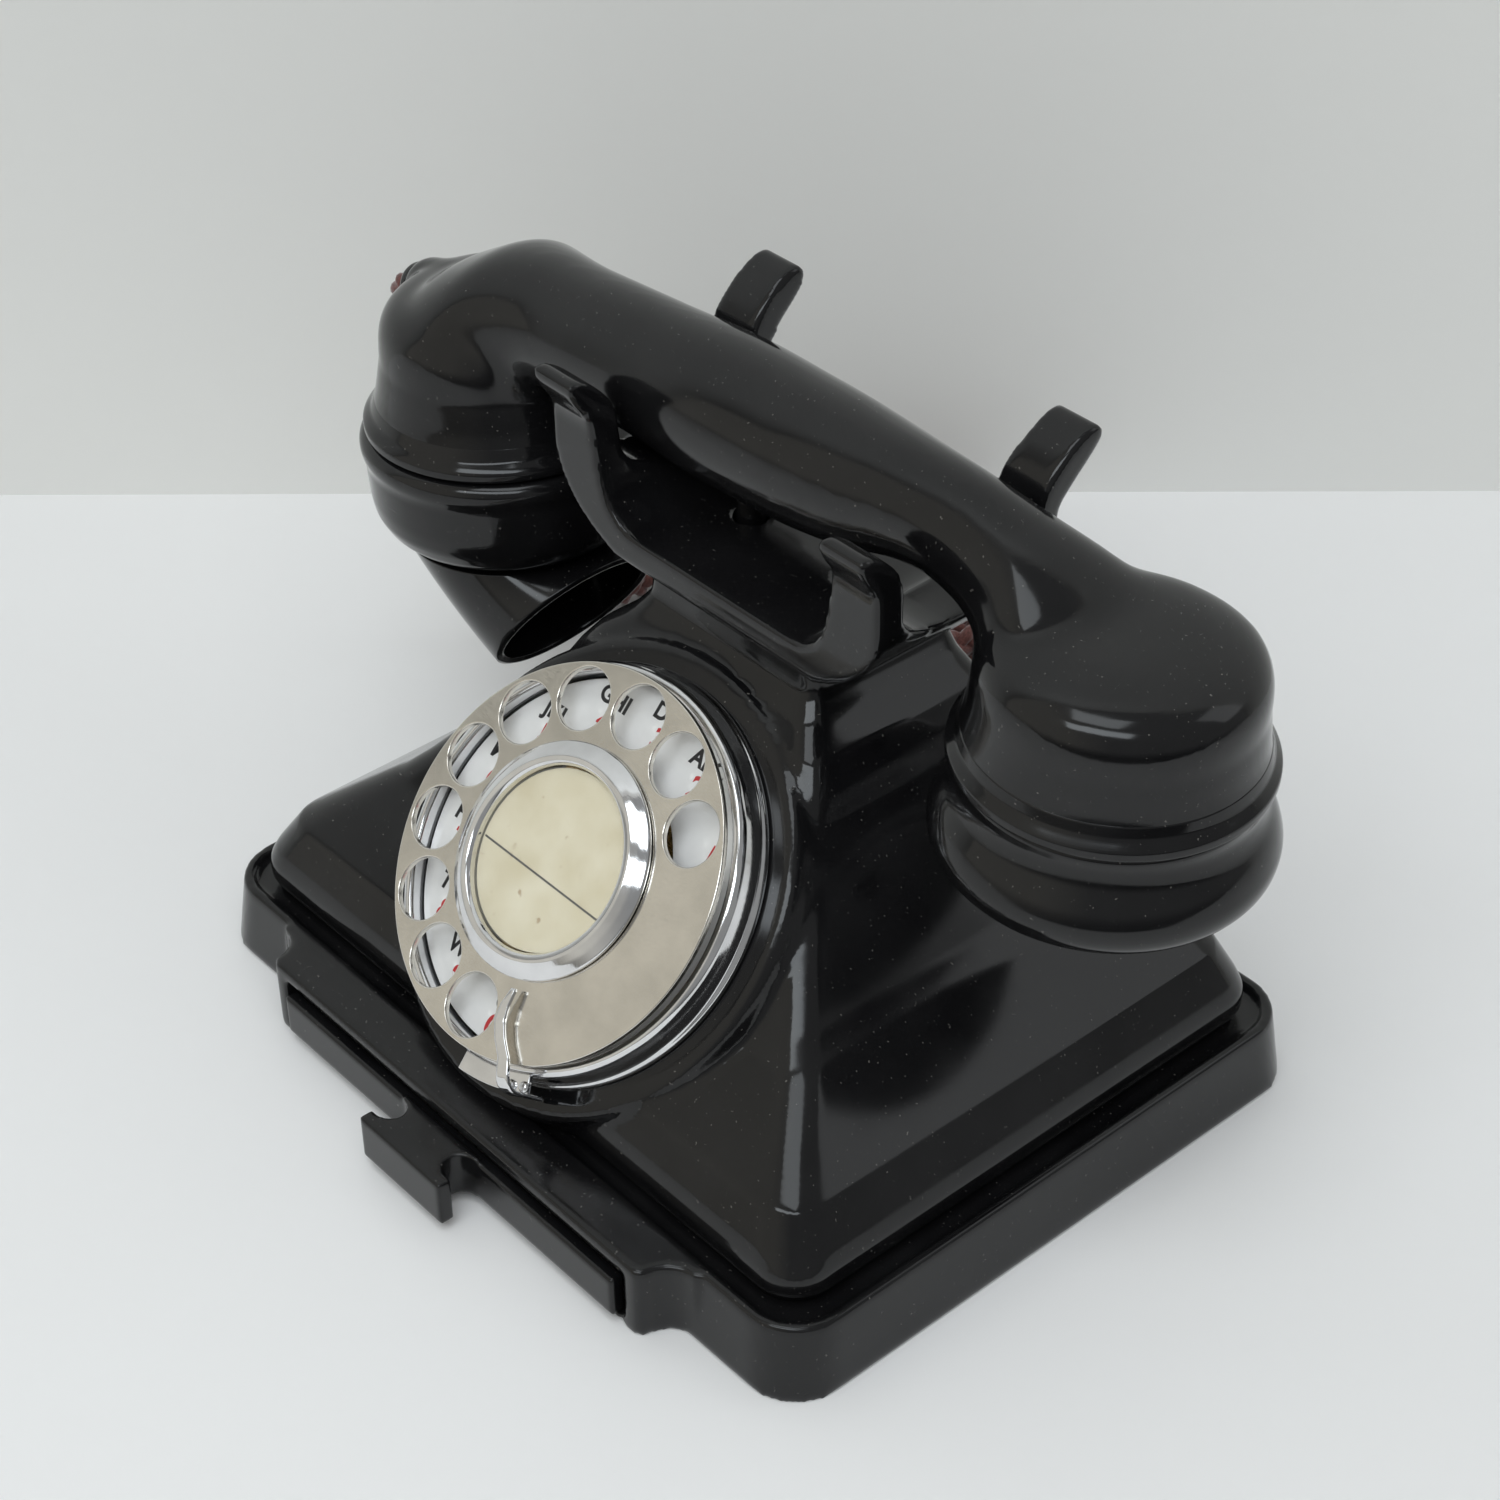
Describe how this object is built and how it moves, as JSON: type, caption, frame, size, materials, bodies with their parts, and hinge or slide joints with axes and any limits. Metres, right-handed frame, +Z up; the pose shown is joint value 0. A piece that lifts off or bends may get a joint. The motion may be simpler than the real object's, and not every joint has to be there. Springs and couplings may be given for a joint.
{
  "type": "rotary dial telephone",
  "caption": "Desk telephone with a flared moulded body, a rotary dial, a horned cradle, a handset with a scoop mouthpiece, a drawer in the plinth and a plaited cord.",
  "frame": {"origin": "on the table, under the middle of the object's box without its cord", "axes": "+Z up, -Y the side that the dial and the drawer face, +X along the handset from the mouthpiece to the earpiece"},
  "size_m": [0.2397, 0.2529, 0.1376],
  "materials": {
    "phenolic": "polished black moulding with faint mould waves",
    "nickel": "worn nickel plate, softly bright",
    "chrome": "bright chromium plate",
    "steel": "zinc plated",
    "tinplate": "dull tinplate",
    "brass": "lacquered",
    "enamel": "white vitreous enamel",
    "card": "aged cream card",
    "window": "thin clear celluloid",
    "winding": "varnished cloth over a copper winding",
    "braid": "plaited brown cotton"
  },
  "bodies": {
    "base": {"body_shell": "phenolic", "plinth": "phenolic", "base_plate": "steel", "base_screw_1": "steel", "base_screw_2": "steel", "base_screw_3": "steel", "base_screw_4": "steel", "line_cord_bush": "phenolic", "handset_cord_bush": "phenolic", "dial_case": "chrome", "number_ring": "enamel", "finger_stop": "chrome", "dial_frame": "brass", "dial_contact_springs": "brass", "induction_coil": "winding", "capacitor": "tinplate", "terminal_block": "phenolic", "switch_bracket": "steel", "switch_springs": "brass", "cord_lower": "braid", "cord_coil": "braid", "cord_tail": "braid"},
    "drawer": {"drawer_front": "phenolic", "drawer_tray": "tinplate", "note_card": "card"},
    "dial_rotor": {"finger_plate": "nickel", "centre_ring": "chrome", "label_card": "card", "label_window": "window", "dial_spindle": "steel", "drive_wheel": "brass"},
    "governor_rotor": {"governor": "brass"},
    "handset": {"handset_body": "phenolic", "ear_cap": "phenolic", "receiver_capsule": "tinplate", "transmitter_cap": "phenolic", "transmitter_capsule": "tinplate", "mouthpiece": "phenolic", "cord_gland": "phenolic", "cord_upper": "braid"},
    "plunger_left": {"cradle_plunger_1": "phenolic"},
    "plunger_right": {"cradle_plunger_2": "phenolic"},
    "hook_lever": {"switch_lever": "steel"}
  },
  "joints": [
    {"name": "drawer_slide", "type": "slide", "parent": "base", "child": "drawer", "axis": [0, -1, 0], "range_m": [0, 0.09]},
    {"name": "dial_turn", "type": "hinge", "parent": "base", "child": "dial_rotor", "pos_m": [0.0057, -0.03805, 0.06024], "axis": [0, -0.7373, 0.6756], "range_deg": [-330, 0], "stiffness_Nm_per_rad": 0.01, "springref_deg": 22.92},
    {"name": "governor_spin", "type": "hinge", "parent": "base", "child": "governor_rotor", "pos_m": [-0.01723, -0.04182, 0.05612], "axis": [0, -0.7373, 0.6756], "range_deg": [0, 1237.5]},
    {"name": "handset_lift", "type": "slide", "parent": "base", "child": "handset", "axis": [0, 0, 1], "range_m": [0, 0.08]},
    {"name": "plunger_left_rise", "type": "slide", "parent": "base", "child": "plunger_left", "axis": [0, 0, 1], "range_m": [0, 0.002]},
    {"name": "plunger_right_rise", "type": "slide", "parent": "base", "child": "plunger_right", "axis": [0, 0, 1], "range_m": [0, 0.002]},
    {"name": "hook_lever_swing", "type": "hinge", "parent": "base", "child": "hook_lever", "pos_m": [0.0057, 0.03355, 0.0864], "axis": [1, 0, 0], "range_deg": [-5, 0]}
  ],
  "couplings": [
    {"joint": "governor_spin", "follows": "dial_turn", "ratio": -3.75},
    {"joint": "plunger_left_rise", "follows": "handset_lift", "ratio": 0.025},
    {"joint": "plunger_right_rise", "follows": "handset_lift", "ratio": 0.025},
    {"joint": "hook_lever_swing", "follows": "handset_lift", "rad_per_m": -1.09}
  ]
}
